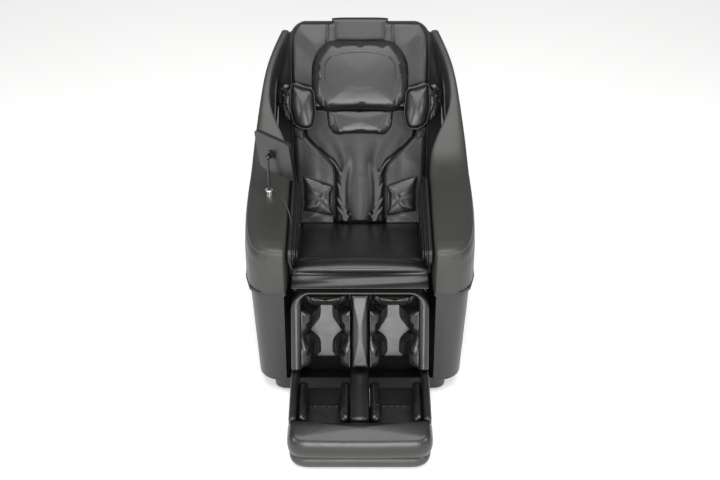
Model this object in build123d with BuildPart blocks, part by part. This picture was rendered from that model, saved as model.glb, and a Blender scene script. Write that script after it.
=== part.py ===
"""Full-body massage chair: a reclining, lifting and tilting chair between two padded side shells,
with calf and foot wells on its leg rest and a tablet remote on a stalk.

Millimetres. -Y is the front, +X is the sitter's left, +Z is up, the floor is Z = 0.
"""
from build123d import *
import os
from math import cos, hypot, pi, radians, sin, tan

os.makedirs("parts", exist_ok=True)

# ---------------------------------------------------------------- driving sizes
# fits
running = 0.05          # radial clearance of a pin that turns in its bore
side_gap = 2.0          # gap between two plates that turn past each other
# base
foot_height = 14.0
pan_half = 300.0
pan_front = -272.0
pan_rear = 425.0
pan_wall = 3.0
base_top = 60.0
wheel_radius = 26.0
wheel_width = 24.0
# side shells
shell_inner = 244.0     # inner face of a side shell beside the seat
shell_wide = 322.0      # inner face beside the back
shell_bottom = 440.0
shell_wall = 5.0
trim_height = 12.0
skirt_inner = 256.0
skirt_top = 425.0
# tilt of the seat and the side shells
tilt_y = 265.0
tilt_z = 180.0
pin_radius = 8.0
# seat
seat_front = -232.0
seat_height = 497.0
seat_slope = 12.1
seat_length = 448.0
seat_half = 232.0
seat_thick = 55.0
board_thick = 10.0
rail_outer = 234.0
rail_wide = 20.0
rail_floor = -105.0     # underside of the seat's rails, below its top face
# back
back_y = 220.0
back_z = 400.0
back_lean = 26.6
back_length = 735.0
back_low_half = 240.0
back_high_half = 253.0
back_thick = 60.0
channel_half = 105.0
recline_y = 230.0
recline_z = 350.0
# leg rest
leg_top_y = -305.0
leg_top_z = 445.0
leg_lean = 19.7
leg_length = 273.0
leg_depth = 165.0
leg_half = 232.0
leg_wall = 33.0
leg_divider = 66.0
leg_skin = 5.0
knee_back = 75.0        # hinge of the leg rest: behind its front and above its top edge
knee_up = 20.0
knee_pin = 6.0
# foot unit
foot_half = 237.0
foot_wall = 27.0
foot_gap = 6.0
nose_front = -710.0
foot_floor = 12.0
# remote
stalk_x = -310.0
stalk_y = -30.0
stalk_radius = 4.5
stalk_height = 146.0
tablet_wide = 165.0
tablet_high = 150.0
tablet_thick = 14.0


# ---------------------------------------------------------------- planes and small helpers
def lean_side(origin, lean, x):
    """Plane across X: its sketch axes run rearward and up along a piece that leans back by lean."""
    a = radians(lean)
    return Plane(origin=(x, origin[0], origin[1]), x_dir=(0, cos(a), -sin(a)), z_dir=(1, 0, 0))


def lean_face(origin, lean, depth):
    """Plane that faces the front, depth behind the front surface: sketch axes are X and up."""
    a = radians(lean)
    point = (0, origin[0] + depth * cos(a), origin[1] - depth * sin(a))
    return Plane(origin=point, x_dir=(1, 0, 0), z_dir=(0, -cos(a), sin(a)))


def upright(x):
    """Plane across X whose sketch axes are Y and Z."""
    return Plane(origin=(x, 0, 0), x_dir=(0, 1, 0), z_dir=(1, 0, 0))


def local(origin, lean, y, z):
    """A world point as (rearward, up) on a leaning piece."""
    a = radians(lean)
    return ((y - origin[0]) * cos(a) - (z - origin[1]) * sin(a),
            (y - origin[0]) * sin(a) + (z - origin[1]) * cos(a))


def world(origin, lean, rear, up):
    """A (rearward, up) point of a leaning piece as world (y, z)."""
    a = radians(lean)
    return (origin[0] + rear * cos(a) + up * sin(a), origin[1] - rear * sin(a) + up * cos(a))


def box_on(plane, low, high, thick, mode=Mode.ADD):
    """A block on a plane, from sketch corner low to corner high, thick along the plane's normal."""
    with BuildSketch(plane) as profile:
        with Locations(((low[0] + high[0]) / 2, (low[1] + high[1]) / 2)):
            Rectangle(high[0] - low[0], high[1] - low[1])
    extrude(profile.sketch, amount=thick, mode=mode)


def shape_on(plane, points, thick, mode=Mode.ADD):
    """A polygon on a plane, thick along the plane's normal."""
    with BuildSketch(plane) as profile:
        with BuildLine():
            Polyline(*points, close=True)
        make_face()
    extrude(profile.sketch, amount=thick, mode=mode)


def disc_on(plane, centre, radius, thick, mode=Mode.ADD):
    """A round boss or hole on a plane."""
    with BuildSketch(plane) as profile:
        with Locations(centre):
            Circle(radius)
    extrude(profile.sketch, amount=thick, mode=mode)


def save(piece, name):
    """Label a finished piece and write its STEP file."""
    piece.part.label = name
    export_step(piece.part, f"parts/{name}.step")


def save_mirrored(piece, right_name, left_name):
    """Write a piece on the +X side and its mirror image on the other."""
    save(piece, right_name)
    with BuildPart() as other:
        mirror(piece.part, about=Plane.YZ)
    save(other, left_name)


def both_sides(piece, name):
    """Write a piece and its mirror image as two solids of one node."""
    with BuildPart() as pair:
        add(piece.part)
        mirror(piece.part, about=Plane.YZ)
    save(pair, name)


seat = (seat_front, seat_height)
back = (back_y, back_z)
leg = (leg_top_y, leg_top_z)
recline = local(back, back_lean, recline_y, recline_z)
knee_y, knee_z = world(leg, leg_lean, knee_back, knee_up)
knee = local(seat, seat_slope, knee_y, knee_z)

# ---------------------------------------------------------------- base: pan, frame, feet, wheels
with BuildPart() as base_pan:
    with BuildSketch(Plane.XY.offset(foot_height)):
        with Locations((0, (pan_front + pan_rear) / 2)):
            RectangleRounded(2 * pan_half, pan_rear - pan_front, 40)
    extrude(amount=base_top - foot_height)
    with BuildSketch(Plane.XY.offset(foot_height + pan_wall)):
        with Locations((0, (pan_front + pan_rear) / 2)):
            RectangleRounded(2 * (pan_half - pan_wall), pan_rear - pan_front - 2 * pan_wall, 40 - pan_wall)
    extrude(amount=base_top, mode=Mode.SUBTRACT)
save(base_pan, "base_pan")

with BuildPart() as foot_pads:
    with BuildSketch(Plane.XY):
        with GridLocations(2 * (pan_half - 66), pan_rear - pan_front - 70, 2, 2):
            Circle(24)
    extrude(amount=foot_height)
    foot_pads.part = foot_pads.part.moved(Location((0, (pan_front + pan_rear) / 2, 0)))
save(foot_pads, "foot_pads")

frame_low = foot_height + pan_wall
frame_high = base_top - frame_low
rail_in = skirt_inner - 4
rail_out = pan_half - pan_wall - 7
upright_in = rail_outer + side_gap
upright_thick = 8.0
tail_y = -150.0         # lower pivot of the tilt actuator
tail_z = 90.0
ear_gap = 14.0          # half the gap between an actuator's two ears
ear_thick = 6.0
ear_pin = 6.0
cross_wide = 40.0
cross_ys = (tail_y, tilt_y, pan_rear - 30)
with BuildPart() as base_frame:
    for side in (-1, 1):
        low = (min(side * rail_in, side * rail_out), pan_front + pan_wall + 18)
        high = (max(side * rail_in, side * rail_out), pan_rear - pan_wall - 18)
        box_on(Plane.XY.offset(frame_low), low, high, frame_high)
    for cross_y in cross_ys:
        box_on(Plane.XY.offset(frame_low), (-rail_in, cross_y - cross_wide / 2),
               (rail_in, cross_y + cross_wide / 2 - 6), frame_high)
    for x in (upright_in, -upright_in - upright_thick):
        shape_on(upright(x), [(tilt_y - 19, base_top - 1), (tilt_y + 13, base_top - 1),
                              (tilt_y + 18, tilt_z), (tilt_y - 18, tilt_z)], upright_thick)
        disc_on(upright(x), (tilt_y, tilt_z), 20, upright_thick)
        disc_on(upright(x), (tilt_y, tilt_z), pin_radius + running, upright_thick, Mode.SUBTRACT)
    for x in (ear_gap, -ear_gap - ear_thick):
        shape_on(upright(x), [(tail_y - 18, base_top - 1), (tail_y + 13, base_top - 1),
                              (tail_y + 12, tail_z), (tail_y - 12, tail_z)], ear_thick)
        disc_on(upright(x), (tail_y, tail_z), 12, ear_thick)
        disc_on(upright(x), (tail_y, tail_z), ear_pin + running, ear_thick, Mode.SUBTRACT)
save(base_frame, "base_frame")

lug_thick = 8.0
lug_in = upright_in - side_gap - lug_thick
axle_y = pan_rear + 30
axle_z = wheel_radius + 5
wheel_in = 250.0
bracket_thick = 4.0
with BuildPart() as axle_bracket:
    box_on(Plane.XY.offset(foot_height + 6), (wheel_in - 40, pan_rear),
           (wheel_in - 8, pan_rear + bracket_thick), 38)
    box_on(upright(wheel_in - 12), (pan_rear, foot_height + 6), (axle_y + 12, foot_height + 34),
           bracket_thick)
    disc_on(upright(wheel_in - 12), (axle_y, axle_z), 5, bracket_thick, Mode.SUBTRACT)

axle_end = wheel_in + wheel_width + 1
with BuildPart() as wheel_axle:
    add(axle_bracket.part)
    mirror(axle_bracket.part, about=Plane.YZ)
    disc_on(upright(-axle_end), (axle_y, axle_z), 5, 2 * axle_end)
    disc_on(upright(axle_end), (axle_y, axle_z), 9, 4)
    disc_on(upright(-axle_end - 4), (axle_y, axle_z), 9, 4)
save(wheel_axle, "wheel_axle")

with BuildPart() as wheel:
    disc_on(upright(wheel_in), (axle_y, axle_z), wheel_radius, wheel_width)
    fillet(wheel.edges().filter_by(GeomType.CIRCLE), 4)
    disc_on(upright(wheel_in), (axle_y, axle_z), 5 + running, wheel_width, Mode.SUBTRACT)
both_sides(wheel, "transport_wheels")

# ---------------------------------------------------------------- base: lower skirts
skirt_front = -285.0
skirt_rear = 470.0
skirt_out = 353.0       # outer side at the floor, as far back as skirt_bend
skirt_out_rear = 318.0
skirt_bend = 120.0
slot_x = 316.0
slot_wide = 16.0
slot_drop = 50.0


def skirt_plan(z, spread, inset):
    """Plan of a skirt at height z: spread widens the outer side, inset moves every side inward."""
    with BuildSketch(Plane.XY.offset(z)) as plan:
        with BuildLine():
            Polyline((skirt_inner + inset, skirt_front + inset),
                     (skirt_out + spread - inset, skirt_front + inset),
                     (skirt_out + spread - inset, skirt_bend),
                     (skirt_out_rear + spread - inset, skirt_rear - inset),
                     (skirt_inner + inset, skirt_rear - inset), close=True)
        make_face()
        front_corner = plan.vertices().sort_by_distance((400, skirt_front))[0]
        fillet(front_corner, 78 - inset)
        rear_corner = plan.vertices().sort_by_distance((400, skirt_rear + 60))[0]
        fillet(rear_corner, 10 - inset)
    return plan.sketch


with BuildPart() as skirt:
    loft([skirt_plan(base_top, 0, 0), skirt_plan(skirt_top, 20, 0)])
    loft([skirt_plan(base_top, 0, 4), skirt_plan(skirt_top, 20, 4)], mode=Mode.SUBTRACT)
    # slot that the tilted shell's inner wall comes down into
    box_on(upright(slot_x), (skirt_rear - 8, skirt_top - slot_drop), (skirt_rear + 4, skirt_top + 4),
           slot_wide,
           Mode.SUBTRACT)
both_sides(skirt, "lower_skirts")

# ---------------------------------------------------------------- base: rear cover and its contents
cover_half = 228.0
cover_front = pan_rear - 45
cover_rear = 485.0
cover_top = 192.0
cover_wall = 3.0
with BuildPart() as rear_cover:
    box_on(Plane.XY.offset(base_top), (-cover_half, cover_front), (cover_half, cover_rear),
           cover_top - base_top)
    fillet(rear_cover.edges().filter_by(Axis.Z).group_by(Axis.Y)[-1], 24)
    with BuildSketch(Plane.XY.offset(base_top)) as room:
        inner_rear = cover_rear - cover_wall
        with Locations((0, (cover_front + inner_rear) / 2)):
            Rectangle(2 * (cover_half - cover_wall), inner_rear - cover_front)
        fillet(room.vertices().group_by(Axis.Y)[-1], 24 - cover_wall)
    extrude(amount=cover_top - base_top - cover_wall, mode=Mode.SUBTRACT)
save(rear_cover, "rear_cover")

with BuildPart() as control_box:
    box_on(Plane.XY.offset(base_top), (20, cover_front + 6), (190, cover_rear - 24), 86)
    chamfer(control_box.edges().filter_by(Axis.Z), 3)
save(control_box, "control_box")

with BuildPart() as air_pump:
    with BuildSketch(Plane.XY.offset(base_top)):
        with Locations((-120, (cover_front + cover_rear - 18) / 2)):
            RectangleRounded(150, 76, 20)
    extrude(amount=88)
save(air_pump, "air_pump")

switch_x = 95.0
switch_z = 100.0
with BuildPart() as power_inlet:
    box_on(Plane.XZ.offset(-cover_rear - 6), (switch_x - 18, switch_z - 22), (switch_x + 60, switch_z + 22),
           6)
    box_on(Plane.XZ.offset(-cover_rear - 6), (switch_x - 9, switch_z - 11), (switch_x + 9, switch_z + 11), 6,
           Mode.SUBTRACT)
    box_on(Plane.XZ.offset(-cover_rear - 6), (switch_x + 20, switch_z - 10), (switch_x + 48, switch_z + 10),
           4,
           Mode.SUBTRACT)
save(power_inlet, "power_inlet")

with BuildPart() as power_rocker:
    box_on(Plane.XZ.offset(-cover_rear - 9.5), (switch_x - 8, switch_z - 9), (switch_x + 8, switch_z + 9), 8)
    chamfer(power_rocker.edges().filter_by(Axis.X), 1)
save(power_rocker, "power_rocker")

# ---------------------------------------------------------------- seat body: frame, board, cushions
rail_top = -seat_thick - board_thick
rail_from = 102.0
rail_to = 520.0
cross_front = (115.0, 155.0)
cross_mid = (240.0, 280.0)
cross_back = (340.0, 380.0)
hook_y, hook_z = 4.0, 318.0         # top pivot of the tilt actuator
drive_x = 60.0                      # the recline actuator is at +X, the leg actuator at -X
recline_tail = (-123.0, 330.0)
leg_tail = (125.0, 258.0)


def ears(x, centre, root):
    """Two ears about x that hold an actuator's pin at a world point, down from a root point above."""
    for start in (x + ear_gap, x - ear_gap - ear_thick):
        shape_on(upright(start), [(root[0] - 15, root[1]), (root[0] + 15, root[1]),
                                  (centre[0] + 11, centre[1]), (centre[0] - 11, centre[1])], ear_thick)
        disc_on(upright(start), centre, 12, ear_thick)
        disc_on(upright(start), centre, ear_pin + running, ear_thick, Mode.SUBTRACT)


with BuildPart() as seat_frame:
    for x in (rail_outer - rail_wide, -rail_outer):
        box_on(lean_side(seat, seat_slope, x), (rail_from, rail_floor), (rail_to, rail_top), rail_wide)
    for start, end in (cross_front, cross_mid, cross_back):
        box_on(lean_side(seat, seat_slope, -rail_outer), (start, rail_floor), (end, rail_top), 2 * rail_outer)
    # lugs down to the tilt pins
    for x in (lug_in, -lug_in - lug_thick):
        shape_on(upright(x), [(tilt_y - 50, 318), (tilt_y - 6, 306), (tilt_y + 18, tilt_z),
                              (tilt_y - 18, tilt_z)], lug_thick)
        disc_on(upright(x), (tilt_y, tilt_z), 20, lug_thick)
        disc_on(upright(x), (tilt_y, tilt_z), pin_radius, lug_thick, Mode.SUBTRACT)
    # brackets up to the back's hinge
    for x in (rail_outer - rail_wide, -rail_outer + rail_wide - 8):
        shape_on(upright(x), [(recline_y - 22, 312), (recline_y + 26, 306), (recline_y + 18, recline_z),
                              (recline_y - 18, recline_z)], 8)
        disc_on(upright(x), (recline_y, recline_z), 20, 8)
        disc_on(upright(x), (recline_y, recline_z), pin_radius, 8, Mode.SUBTRACT)
    # arms forward to the leg rest's hinge
    for x in (rail_outer - 14, -rail_outer + 4):
        box_on(lean_side(seat, seat_slope, x), (knee[0], min(knee[1] - 12, rail_top - 8)),
               (rail_from + 6, -seat_thick - 2), 10)
        disc_on(lean_side(seat, seat_slope, x), knee, 12, 10)
        disc_on(lean_side(seat, seat_slope, x), knee, knee_pin, 10, Mode.SUBTRACT)
    # plates up to the side shells
    for x in (rail_outer, -shell_inner):
        for start in (-120, 60):
            box_on(upright(x), (start, 437 + rail_top - 0.2 * start), (start + 60, 470),
                   shell_inner - rail_outer)
    ears(drive_x, recline_tail, (-112, 372))
    ears(-drive_x, leg_tail, (102, 330))
    ears(0, (hook_y, hook_z), (6, 345))
save(seat_frame, "seat_frame")

with BuildPart() as pins:
    disc_on(upright(lug_in - 4), (tilt_y, tilt_z), pin_radius, upright_in + upright_thick - lug_in + 4)
    disc_on(upright(rail_outer - rail_wide - side_gap - 10), (recline_y, recline_z), pin_radius,
            side_gap + 18)
    disc_on(upright(rail_outer - 28), (knee_y, knee_z), knee_pin, 24)
both_sides(pins, "hinge_pins")

with BuildPart() as seat_board:
    box_on(lean_side(seat, seat_slope, -rail_outer + 22), (knee[0] + 29, rail_top), (440, -seat_thick),
           2 * rail_outer - 44)
save(seat_board, "seat_board")

with BuildPart() as seat_cushion:
    box_on(lean_side(seat, seat_slope, -seat_half), (80, -seat_thick), (seat_length, 0), 2 * seat_half)
    fillet(seat_cushion.edges().filter_by(Axis.X).sort_by(Axis.Z)[-2:], 16)
save(seat_cushion, "seat_cushion")

with BuildPart() as seat_front_pad:
    with BuildSketch(lean_side(seat, seat_slope, -seat_half)):
        with BuildLine():
            Polyline((-4, 0), (-4, -34), (knee[0] + 29, -34), (knee[0] + 29, -seat_thick), (78, -seat_thick),
                     (78, 4))
            Spline((78, 4), (40, 9), (8, 6), (-4, 0))
        make_face()
    extrude(amount=2 * seat_half)
save(seat_front_pad, "seat_front_pad")

with BuildPart() as valance:
    with BuildSketch(upright(-seat_half)):
        with BuildLine():
            Polyline((seat_front - 14, 470), (seat_front - 14, 474), (leg_top_y + 8, 456),
                     (leg_top_y + 8, 452), close=True)
        make_face()
    extrude(amount=2 * seat_half)
save(valance, "valance")

# ---------------------------------------------------------------- seat body: side shells
# stations along Y: inner face low, inner face at the rim, outer low, outer high, top height
stations = [
    (-305, 250, 252, 300, 296, 596),
    (-296, 246, 247, 342, 332, 606),
    (-262, 244, 245, 372, 362, 616),
    (-190, 244, 245, 389, 380, 632),
    (-60, 244, 245, 394, 386, 656),
    (60, 244, 245, 393, 384, 678),
    (150, 244, 245, 389, 378, 704),
    (205, 250, 254, 386, 374, 757),
    (240, 284, 286, 383, 367, 795),
    (262, 314, 315, 381, 363, 818),
    (300, 324, 325, 377, 357, 858),
    (350, 324, 321, 371, 349, 905),
    (415, 322, 308, 364, 336, 955),
    (480, 318, 283, 358, 310, 1000),
    (530, 314, 258, 354, 288, 1030),
]


def shell_section(y, inner, rim, low, high, top, inset, drop):
    """Section across a side shell; the outer side leans in and the top is rounded."""
    bottom = shell_bottom - drop
    bend = shell_bottom + 0.62 * (top - shell_bottom)
    thick = high - rim - 2 * inset
    with BuildSketch(Plane(origin=(0, y, 0), x_dir=(1, 0, 0), z_dir=(0, -1, 0))) as section:
        with BuildLine():
            Polyline((inner + inset, bottom), (low - inset, bottom), (low - inset, bend),
                     (high + 0.25 * (low - high) - inset, top - 24 - inset),
                     (high - inset - 0.2 * thick, top - inset), (rim + inset + 0.12 * thick, top - inset),
                     (rim + inset, top - 12 - inset), (inner + inset, bend), close=True)
        make_face()
    return section.sketch


outer_sections = [shell_section(*station, 0, 0) for station in stations]
room_sections = []
for station in stations:
    ends = {stations[0][0]: shell_wall, stations[-1][0]: -shell_wall}
    room_sections.append(shell_section(station[0] + ends.get(station[0], 0), *station[1:], shell_wall, 10))
with BuildPart() as shell_block:
    for near, far in zip(outer_sections, outer_sections[1:]):
        loft([near, far], ruled=True)
with BuildPart() as arm_shell:
    add(shell_block.part)
    for near, far in zip(room_sections, room_sections[1:]):
        loft([near, far], ruled=True, mode=Mode.SUBTRACT)
save_mirrored(arm_shell, "arm_shell_left", "arm_shell_right")

with BuildPart() as trim:
    outline = [(inner, y) for y, inner, rim, low, high, top in stations]
    outline += [(low, y) for y, inner, rim, low, high, top in reversed(stations)]
    with BuildSketch(Plane.XY.offset(shell_bottom - trim_height)):
        with BuildLine():
            Polyline(*outline, close=True)
        make_face()
    extrude(amount=trim_height)
    hollow = [(244 - 5, -299.5), (300, -299.5), (336, -290), (366, -259)]
    hollow += [(low - shell_wall, y) for y, inner, rim, low, high, top in stations[3:]]
    hollow += [(200, stations[-1][0]), (200, 0)]
    shape_on(Plane.XY.offset(shell_bottom - trim_height), hollow, trim_height, Mode.SUBTRACT)
both_sides(trim, "shell_trims")

liner_thick = 36.0
with BuildPart() as arm_liner:
    with BuildSketch(upright(shell_inner - liner_thick)):
        with BuildLine():
            Polyline((-284, 592), (-282, 540), (-262, 522), (-232, 520), (-120, 500), (125, 500), (125, 655),
                     close=True)
        make_face()
    extrude(amount=liner_thick)
    fillet(arm_liner.faces().sort_by(Axis.X)[0].edges(), 10)

# raised strip inside each shoulder of the shell
with BuildPart() as shoulder_strip:
    shape_on(upright(shell_wide - 22), [(352, 720), (392, 700), (486, 880), (462, 915)], 22)
    add(shell_block.part, mode=Mode.SUBTRACT)
with BuildPart() as side_liners:
    add(arm_liner.part)
    add(shoulder_strip.part)
both_sides(side_liners, "shell_liners")

# ---------------------------------------------------------------- back: frame, track, shell
tube = 20.0
tube_near = 65.0
tube_far = 95.0
frame_half = 211.0
frame_top = back_length - 110
back_face_way = Axis((0, 0, 0), (0, -cos(radians(back_lean)), sin(radians(back_lean))))
cross_high = 25.0
back_lug = 8.0
back_lug_out = rail_outer - rail_wide - side_gap
track_in = 120.0
track_out = 146.0
track_slot = 18.0
lever = local(back, back_lean, 205.0, 245.0)
with BuildPart() as back_frame:
    for x in (frame_half - tube, -frame_half):
        box_on(lean_side(back, back_lean, x), (tube_near, -40), (tube_far, frame_top), tube)
    for low in (0, frame_top - cross_high):
        box_on(lean_side(back, back_lean, -frame_half), (tube_near, low), (tube_far, low + cross_high),
               2 * frame_half)
    for x in (back_lug_out - back_lug, -back_lug_out):
        shape_on(lean_side(back, back_lean, x), [(recline[0] - 6, recline[1] - 18), (tube_near + 5, -40),
                                                 (tube_near + 5, 0), (recline[0] - 6, recline[1] + 18)],
                                                 back_lug)
        disc_on(lean_side(back, back_lean, x), recline, 18, back_lug)
        disc_on(lean_side(back, back_lean, x), recline, pin_radius + running, back_lug, Mode.SUBTRACT)
    for x in (drive_x + ear_gap, drive_x - ear_gap - ear_thick):
        plane = lean_side(back, back_lean, x)
        shape_on(plane, [(tube_near, cross_high), (tube_far, 4), (lever[0] + 11, lever[1]),
                         (lever[0] - 11, lever[1]), (tube_near, 4)], ear_thick)
        disc_on(plane, lever, 12, ear_thick)
        disc_on(plane, lever, ear_pin + running, ear_thick, Mode.SUBTRACT)
    # channels that guide the massage carriage
    for x, slot_x in ((track_in, track_in), (-track_out, -track_in - track_slot)):
        box_on(lean_side(back, back_lean, x), (70, cross_high), (106, frame_top - cross_high),
               track_out - track_in)
        box_on(lean_side(back, back_lean, slot_x), (78, cross_high), (98, frame_top - cross_high), track_slot,
               Mode.SUBTRACT)
save(back_frame, "back_frame")


def back_outline(low_half, high_half, low, high, corner, foot):
    """Front view of the back: widens upwards and has round top corners."""
    with BuildSketch(Plane.XY) as outline:
        with BuildLine():
            Polyline((-low_half, low), (low_half, low), (high_half, high - 160), (high_half, high),
                     (-high_half, high), (-high_half, high - 160), close=True)
        make_face()
        fillet(outline.vertices().group_by(Axis.Y)[-1], corner)
        if foot:
            fillet(outline.vertices().group_by(Axis.Y)[0], foot)
    return outline.sketch


def back_hull(spread, low, near, wall):
    """The moulded back: its outline from the front crossed with its profile from the side."""
    top = back_length - wall
    profile = [(near, low), (near, top), (156 - wall / 2, top), (200 - wall, back_length - 45 - wall / 2),
               (198 - wall, 400), (166 - wall, 120), (140 - wall - (back_thick - near) / 3, low)]
    with BuildPart() as hull:
        with BuildSketch(lean_face(back, back_lean, 210)):
            add(back_outline(back_low_half + 8 + spread, back_high_half - 3 + spread, low, top, 86 + spread,
                             0))
        extrude(amount=210 - near)
        with BuildSketch(lean_side(back, back_lean, -300)):
            with BuildLine():
                Polyline(*profile, close=True)
            make_face()
        extrude(amount=600, mode=Mode.INTERSECT)
    return hull.part


back_outside = back_hull(0, back_thick, back_thick, 0)
back_inside = back_hull(-4, back_thick - 20, back_thick - 20, 5)
with BuildPart() as back_shell:
    add(back_outside)
    add(back_inside, mode=Mode.SUBTRACT)
save(back_shell, "back_shell")

# ---------------------------------------------------------------- back: cushions
with BuildPart() as back_cushion:
    with BuildSketch(lean_face(back, back_lean, back_thick)):
        add(back_outline(back_low_half, back_high_half, 6, back_length, 62, 20))
        with Locations((0, 6 + 294)):
            Rectangle(2 * channel_half, 594, mode=Mode.SUBTRACT)
    extrude(amount=back_thick)
save(back_cushion, "back_cushion")

with BuildPart() as back_centre_pad:
    box_on(lean_face(back, back_lean, 24), (-channel_half, 20), (channel_half, 590), 22)
save(back_centre_pad, "back_centre_pad")

with BuildPart() as waist_pad:
    box_on(lean_face(back, back_lean, 0), (channel_half + 4, 24), (206, 150), 14)
    fillet(waist_pad.edges().group_by(back_face_way)[-1], 6)

with BuildPart() as neck_pad:
    box_on(lean_face(back, back_lean, 0), (-118, 318), (118, 402), 20)
    fillet(neck_pad.edges().filter_by(Axis.X).sort_by(Axis.Y)[:2], 8)
with BuildPart() as back_pads:
    add(neck_pad.part)
    add(waist_pad.part)
    mirror(waist_pad.part, about=Plane.YZ)
save(back_pads, "neck_and_waist_pads")

wing_low = 340.0
wing_high = 512.0
with BuildPart() as wing:
    with BuildSketch(lean_face(back, back_lean, 0)):
        with BuildLine():
            Polyline((188, wing_low + 30), (204, wing_low), (242, wing_low + 20), (256, wing_high - 90),
                     (250, wing_high), (212, wing_high - 22), (188, wing_high - 50), close=True)
        make_face()
    extrude(amount=64)

with BuildPart() as gusset:
    with BuildSketch(lean_face(back, back_lean, 0)):
        with BuildLine():
            Polyline((257.5, wing_low + 30), (280, wing_low + 60), (286, wing_high - 60), (257.5, wing_high),
                     close=True)
        make_face()
    extrude(amount=44)
with BuildPart() as shoulder:
    add(wing.part)
    add(gusset.part)
both_sides(shoulder, "shoulder_wings")

flap_half = 104.0
flap_thick = 8.0
flap_low = back_length - 61
with BuildPart() as top_flap:
    box_on(lean_face(back, back_lean, 0), (-flap_half, flap_low), (flap_half, back_length + flap_thick),
           flap_thick)
    box_on(lean_face(back, back_lean, back_thick + 40), (-flap_half, back_length),
           (flap_half, back_length + flap_thick), back_thick + 40)
save(top_flap, "top_flap")

pillow_high = back_length - 67
pillow_low = pillow_high - 262
with BuildPart() as head_pillow:
    with BuildSketch(lean_face(back, back_lean, -1)):
        with BuildLine():
            Polyline((-150, pillow_low), (150, pillow_low), (183, pillow_low + 120), (150, pillow_high),
                     (-150, pillow_high), (-183, pillow_low + 120), close=True)
        make_face()
    extrude(amount=64)
    fillet(head_pillow.faces().sort_by(back_face_way)[-1].edges(), 24)
save(head_pillow, "head_pillow")

# ---------------------------------------------------------------- massage carriage
mid = 265.0             # height of the carriage along the back at rest
roller_half = 60.0      # from the arm's pivot to a roller
roller_radius = 22.0
arm_depth = 62.0
with BuildPart() as carriage:
    box_on(lean_side(back, back_lean, -112), (74, mid - 25), (102, mid + 25), 224)
    for height in (mid - 16, mid + 16):
        disc_on(lean_side(back, back_lean, -137), (88, height), 8, 274)
    for x in (29, -37):
        box_on(lean_side(back, back_lean, x), (54, mid - 14), (74, mid + 14), 8)
    for x in (37, -47):
        disc_on(lean_side(back, back_lean, x), (arm_depth, mid), 5, 10)
save(carriage, "massage_carriage")

with BuildPart() as carriage_motor:
    box_on(lean_side(back, back_lean, -55), (102, mid - 30), (134, mid + 30), 110)
    chamfer(carriage_motor.edges().filter_by(Axis.X), 4)
save(carriage_motor, "carriage_motor")

with BuildPart() as roller_arm:
    box_on(lean_side(back, back_lean, 38), (arm_depth - 8, mid - roller_half),
           (arm_depth + 8, mid + roller_half), 8)
    for height in (mid - roller_half, mid + roller_half):
        disc_on(lean_side(back, back_lean, 38), (arm_depth, height), 9, 8)
        disc_on(lean_side(back, back_lean, 46), (arm_depth, height), 4, 30)
    disc_on(lean_side(back, back_lean, 38), (arm_depth, mid), 5 + running, 8, Mode.SUBTRACT)
save_mirrored(roller_arm, "roller_arm_left", "roller_arm_right")

with BuildPart() as rollers:
    for height in (mid - roller_half, mid + roller_half):
        disc_on(lean_side(back, back_lean, 48), (arm_depth, height), roller_radius, 26)
    fillet(rollers.edges().filter_by(GeomType.CIRCLE), 6)
    for height in (mid - roller_half, mid + roller_half):
        disc_on(lean_side(back, back_lean, 48), (arm_depth, height), 4, 26, Mode.SUBTRACT)
save_mirrored(rollers, "kneading_rollers_left", "kneading_rollers_right")

# ---------------------------------------------------------------- leg rest
well_in = leg_divider / 2
well_out = leg_half - leg_wall
with BuildPart() as calf_shell:
    box_on(lean_face(leg, leg_lean, leg_depth), (-leg_half, -leg_length), (leg_half, 0), leg_depth)
    fillet(calf_shell.edges().filter_by(Axis.X).group_by(Axis.Y)[-1], 20)
    box_on(lean_face(leg, leg_lean, leg_depth - 14), (-well_out, -leg_length), (well_out, -leg_skin),
           leg_depth - 14,
           Mode.SUBTRACT)
save(calf_shell, "calf_shell")

with BuildPart() as calf_divider:
    box_on(lean_face(leg, leg_lean, leg_depth - 14), (-well_in, -leg_length), (well_in, -leg_skin),
           leg_depth - 14)
    down_leg = Axis((0, 0, 0), (0, -sin(radians(leg_lean)), -cos(radians(leg_lean))))
    fillet(calf_divider.edges().filter_by(down_leg).sort_by(Axis.Y)[:2], 16)
save(calf_divider, "calf_divider")

knee_pad_high = 62.0
with BuildPart() as knee_pad:
    box_on(lean_face(leg, leg_lean, leg_depth - 14), (well_in, -knee_pad_high), (well_out, -leg_skin),
           leg_depth - 24)
both_sides(knee_pad, "knee_pads")

bag_front = 14.0        # thickness of a calf airbag at the well's mouth
bag_rear = 62.0         # and at the back of the well
with BuildPart() as calf_bags:
    for wall_x, way in ((well_out, -1), (well_in, 1)):
        face = Plane(origin=(0, *world(leg, leg_lean, 0, -leg_length + 10)), x_dir=(1, 0, 0),
                     z_dir=(0, sin(radians(leg_lean)), cos(radians(leg_lean))))
        with BuildSketch(face) as wedge:
            with BuildLine():
                Polyline((wall_x, 16), (wall_x + way * bag_front, 16),
                         (wall_x + way * bag_rear, leg_depth - 19),
                         (wall_x, leg_depth - 19), close=True)
            make_face()
        extrude(wedge.sketch, amount=leg_length - knee_pad_high - 14)
both_sides(calf_bags, "calf_airbags")

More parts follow.
